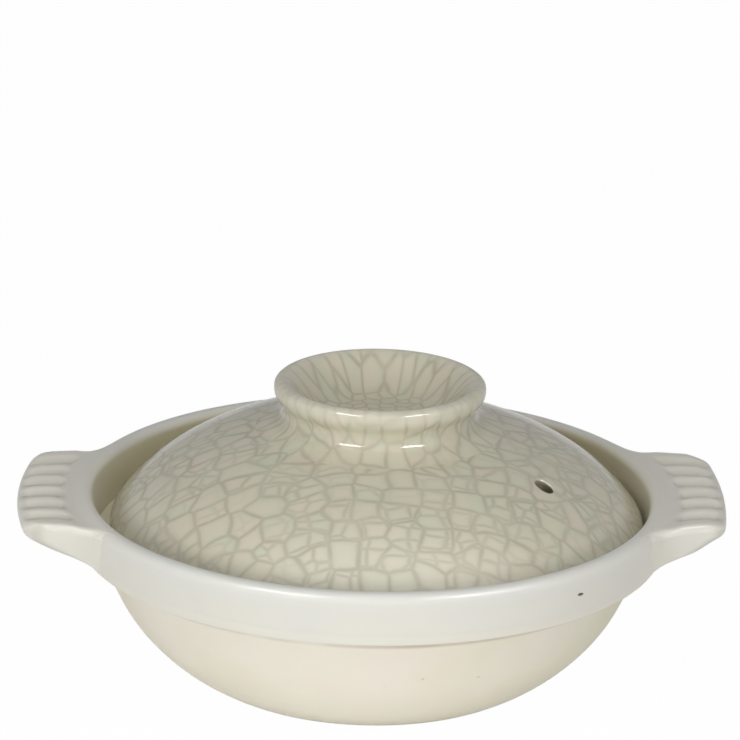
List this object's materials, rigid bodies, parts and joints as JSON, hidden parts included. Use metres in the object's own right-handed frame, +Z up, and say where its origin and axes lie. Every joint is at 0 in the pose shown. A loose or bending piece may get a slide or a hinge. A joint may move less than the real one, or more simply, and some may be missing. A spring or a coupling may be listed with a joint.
{
  "type": "donabe clay pot",
  "caption": "Fired clay pot with two ribbed lugs and a loose domed lid with a ring knob and a steam vent.",
  "frame": {"origin": "on the pot's axis, in the plane of the foot ring's flat underside", "axes": "+Z up along the pot's axis, +X towards the right lug, -Y towards the viewer of the picture"},
  "size_m": [0.2388, 0.2, 0.1013],
  "materials": {
    "bare_clay": "bare cream clay below the band, satin off-white glaze on the band, lip and inside",
    "satin_glaze": "satin off-white glaze",
    "crackle_glaze": "glossy grey-beige glaze with a net of fine darker cracks"
  },
  "bodies": {
    "pot": {"pot_bowl": "bare_clay", "left_lug": "satin_glaze", "right_lug": "satin_glaze"},
    "lid": {"lid_dome": "crackle_glaze", "lid_knob": "crackle_glaze"}
  },
  "joints": [
    {"name": "lid_lift", "type": "slide", "parent": "pot", "child": "lid", "axis": [0, 0, 1], "range_m": [0, 0.12]}
  ]
}
